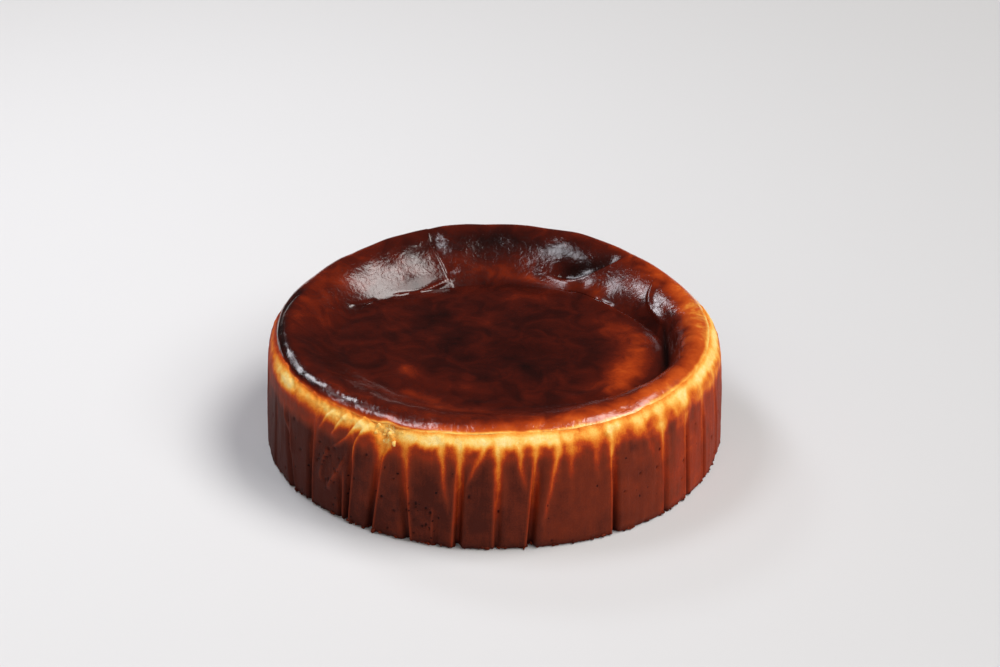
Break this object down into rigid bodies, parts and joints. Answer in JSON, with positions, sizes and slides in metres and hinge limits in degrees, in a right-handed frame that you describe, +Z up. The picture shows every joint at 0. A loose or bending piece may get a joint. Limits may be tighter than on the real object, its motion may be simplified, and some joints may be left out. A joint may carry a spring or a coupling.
{
  "type": "baked cheesecake",
  "caption": "Whole round baked cheesecake with a sunken, glossy caramelised top, a rounded rim and a pleated browned side, standing on its flat base.",
  "frame": {"origin": "centre of the flat base the cake stands on", "axes": "+Z up out of the sunken top, -Y towards the front, where the pale notch is just left of the middle"},
  "size_m": [0.2008, 0.1992, 0.0579],
  "materials": {
    "caramelised_crust": "baked custard with a glossy dark brown caramelised skin on top, a pale yellow band under the rim and a satin brown crust on the side"
  },
  "bodies": {
    "root": {"cheesecake": "caramelised_crust"}
  },
  "joints": []
}
